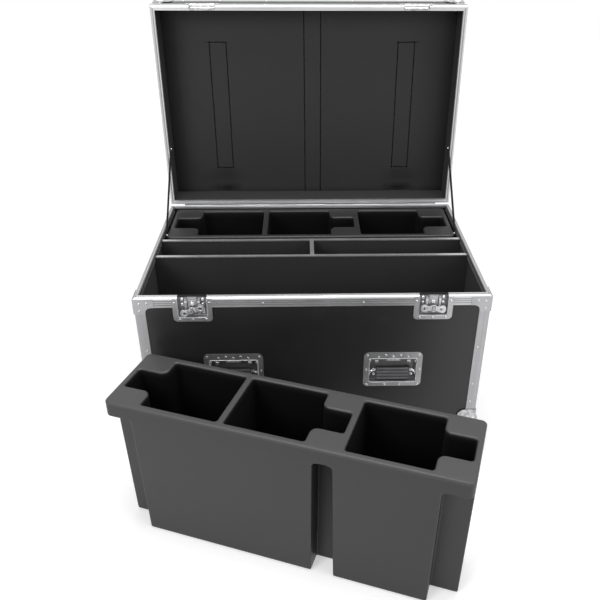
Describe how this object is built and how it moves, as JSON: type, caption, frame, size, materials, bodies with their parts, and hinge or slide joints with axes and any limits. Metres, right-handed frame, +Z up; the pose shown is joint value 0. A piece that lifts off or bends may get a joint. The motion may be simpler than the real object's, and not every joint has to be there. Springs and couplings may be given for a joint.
{
  "type": "lighting flight case",
  "caption": "Open flight case for stage lamps: black panels, aluminium edges, hinged lid, butterfly latches, sprung handles, dividers, castors and two moulded lamp trays.",
  "frame": {"origin": "centre of the base panel's underside", "axes": "+Z up, the front with the latches and handles faces -Y"},
  "size_m": [1.0499, 1.3832, 1.2661],
  "materials": {
    "laminate": "satin black laminate on plywood",
    "aluminium": "natural anodised",
    "zinc": "bright zinc plated pressed steel",
    "lining": "black lined plywood",
    "foam": "moulded closed-cell foam, matt",
    "grip": "ribbed matt grip",
    "strap": "woven webbing",
    "wheel": "solid matt rubber"
  },
  "bodies": {
    "case": {"base_panel": "laminate", "body_edge_frame": "aluminium", "body_rim": "aluminium", "bottom_corner_front_left": "zinc", "bottom_corner_front_right": "zinc", "bottom_corner_rear_left": "zinc", "bottom_corner_rear_right": "zinc", "castor_plate_front_left": "zinc", "castor_plate_front_right": "zinc", "castor_plate_rear_left": "zinc", "castor_plate_rear_right": "zinc", "cross_divider": "lining", "divider_caps": "aluminium", "front_divider": "lining", "front_panel": "laminate", "handle_dish_left": "zinc", "handle_dish_right": "zinc", "hinge_body_leaf": "zinc", "latch_dish_left": "zinc", "latch_dish_right": "zinc", "left_panel": "laminate", "rear_divider": "lining", "rear_panel": "laminate", "right_panel": "laminate", "rim_brace_left": "zinc", "rim_brace_right": "zinc", "stay_strap_left": "strap", "stay_strap_right": "strap"},
    "lid": {"lid_panel": "laminate", "lid_walls": "laminate", "lid_rim": "aluminium", "lid_edge_frame": "aluminium", "lid_keeper_left": "zinc", "lid_keeper_right": "zinc", "lid_foam": "foam", "hinge_lid_leaf": "zinc", "lid_corner_front_left": "zinc", "lid_corner_front_right": "zinc", "lid_corner_rear_left": "zinc", "lid_corner_rear_right": "zinc"},
    "latch_key_left": {"latch_key_left": "zinc"},
    "latch_hook_left": {"latch_hook_left": "zinc"},
    "latch_left_wing_left": {"latch_left_wing_left": "zinc"},
    "latch_left_wing_right": {"latch_left_wing_right": "zinc"},
    "latch_key_right": {"latch_key_right": "zinc"},
    "latch_hook_right": {"latch_hook_right": "zinc"},
    "latch_right_wing_left": {"latch_right_wing_left": "zinc"},
    "latch_right_wing_right": {"latch_right_wing_right": "zinc"},
    "handle_bail_left": {"handle_bail_left": "grip"},
    "handle_bail_right": {"handle_bail_right": "grip"},
    "rear_tray": {"rear_tray": "foam"},
    "front_tray": {"front_tray": "foam"},
    "castor_fork_front_left": {"castor_fork_front_left": "zinc"},
    "castor_wheel_front_left": {"castor_wheel_front_left": "wheel"},
    "castor_fork_front_right": {"castor_fork_front_right": "zinc"},
    "castor_wheel_front_right": {"castor_wheel_front_right": "wheel"},
    "castor_fork_rear_left": {"castor_fork_rear_left": "zinc"},
    "castor_wheel_rear_left": {"castor_wheel_rear_left": "wheel"},
    "castor_fork_rear_right": {"castor_fork_rear_right": "zinc"},
    "castor_wheel_rear_right": {"castor_wheel_rear_right": "wheel"}
  },
  "joints": [
    {"name": "lid_hinge", "type": "hinge", "parent": "case", "child": "lid", "pos_m": [0, 0.333, 0.457], "axis": [1, 0, 0], "range_deg": [0, 91.1], "deforming": ["stay_strap_left", "stay_strap_right"]},
    {"name": "latch_left_turn", "type": "hinge", "parent": "case", "child": "latch_key_left", "pos_m": [-0.337, -0.3331, 0.42], "axis": [0, 1, 0], "range_deg": [0, 180]},
    {"name": "latch_left_draw", "type": "slide", "parent": "case", "child": "latch_hook_left", "axis": [0, 0, -1], "range_m": [0, 0.008]},
    {"name": "latch_left_wing_left_fold", "type": "hinge", "parent": "latch_key_left", "child": "latch_left_wing_left", "pos_m": [-0.34217, -0.3331, 0.41812], "axis": [-0.342, 0, 0.9397], "range_deg": [0, 90]},
    {"name": "latch_left_wing_right_fold", "type": "hinge", "parent": "latch_key_left", "child": "latch_left_wing_right", "pos_m": [-0.33183, -0.3331, 0.42188], "axis": [0.342, 0, -0.9397], "range_deg": [0, 90]},
    {"name": "latch_right_turn", "type": "hinge", "parent": "case", "child": "latch_key_right", "pos_m": [0.337, -0.3331, 0.42], "axis": [0, 1, 0], "range_deg": [0, 180]},
    {"name": "latch_right_draw", "type": "slide", "parent": "case", "child": "latch_hook_right", "axis": [0, 0, -1], "range_m": [0, 0.008]},
    {"name": "latch_right_wing_left_fold", "type": "hinge", "parent": "latch_key_right", "child": "latch_right_wing_left", "pos_m": [0.33151, -0.3331, 0.42038], "axis": [0.0698, 0, 0.9976], "range_deg": [0, 90]},
    {"name": "latch_right_wing_right_fold", "type": "hinge", "parent": "latch_key_right", "child": "latch_right_wing_right", "pos_m": [0.34249, -0.3331, 0.41962], "axis": [-0.0698, 0, -0.9976], "range_deg": [0, 90]},
    {"name": "handle_left_swing", "type": "hinge", "parent": "case", "child": "handle_bail_left", "pos_m": [-0.234, -0.3226, 0.236], "axis": [-1, 0, 0], "range_deg": [0, 90], "stiffness_Nm_per_rad": 0.25, "springref_deg": -17.19},
    {"name": "handle_right_swing", "type": "hinge", "parent": "case", "child": "handle_bail_right", "pos_m": [0.234, -0.3226, 0.236], "axis": [-1, 0, 0], "range_deg": [0, 90], "stiffness_Nm_per_rad": 0.25, "springref_deg": -17.19},
    {"name": "rear_tray_lift", "type": "slide", "parent": "case", "child": "rear_tray", "axis": [0, 0, -1], "range_m": [-0.45, 0]},
    {"name": "front_tray_lift", "type": "slide", "parent": "case", "child": "front_tray", "axis": [0, 0, -1], "range_m": [-0.3, 0]},
    {"name": "castor_front_left_swivel", "type": "hinge", "parent": "case", "child": "castor_fork_front_left", "pos_m": [-0.385, -0.222, 0], "axis": [0, 0, 1], "continuous": true},
    {"name": "castor_front_left_roll", "type": "hinge", "parent": "castor_fork_front_left", "child": "castor_wheel_front_left", "pos_m": [-0.385, -0.192, -0.087], "axis": [1, 0, 0], "continuous": true},
    {"name": "castor_front_right_swivel", "type": "hinge", "parent": "case", "child": "castor_fork_front_right", "pos_m": [0.385, -0.222, 0], "axis": [0, 0, 1], "continuous": true},
    {"name": "castor_front_right_roll", "type": "hinge", "parent": "castor_fork_front_right", "child": "castor_wheel_front_right", "pos_m": [0.385, -0.192, -0.087], "axis": [1, 0, 0], "continuous": true},
    {"name": "castor_rear_left_swivel", "type": "hinge", "parent": "case", "child": "castor_fork_rear_left", "pos_m": [-0.385, 0.222, 0], "axis": [0, 0, 1], "continuous": true},
    {"name": "castor_rear_left_roll", "type": "hinge", "parent": "castor_fork_rear_left", "child": "castor_wheel_rear_left", "pos_m": [-0.385, 0.252, -0.087], "axis": [1, 0, 0], "continuous": true},
    {"name": "castor_rear_right_swivel", "type": "hinge", "parent": "case", "child": "castor_fork_rear_right", "pos_m": [0.385, 0.222, 0], "axis": [0, 0, 1], "continuous": true},
    {"name": "castor_rear_right_roll", "type": "hinge", "parent": "castor_fork_rear_right", "child": "castor_wheel_rear_right", "pos_m": [0.385, 0.252, -0.087], "axis": [1, 0, 0], "continuous": true}
  ],
  "couplings": [
    {"joint": "latch_left_draw", "follows": "latch_left_turn", "m_per_rad": 0.0025465},
    {"joint": "latch_right_draw", "follows": "latch_right_turn", "m_per_rad": 0.0025465}
  ]
}
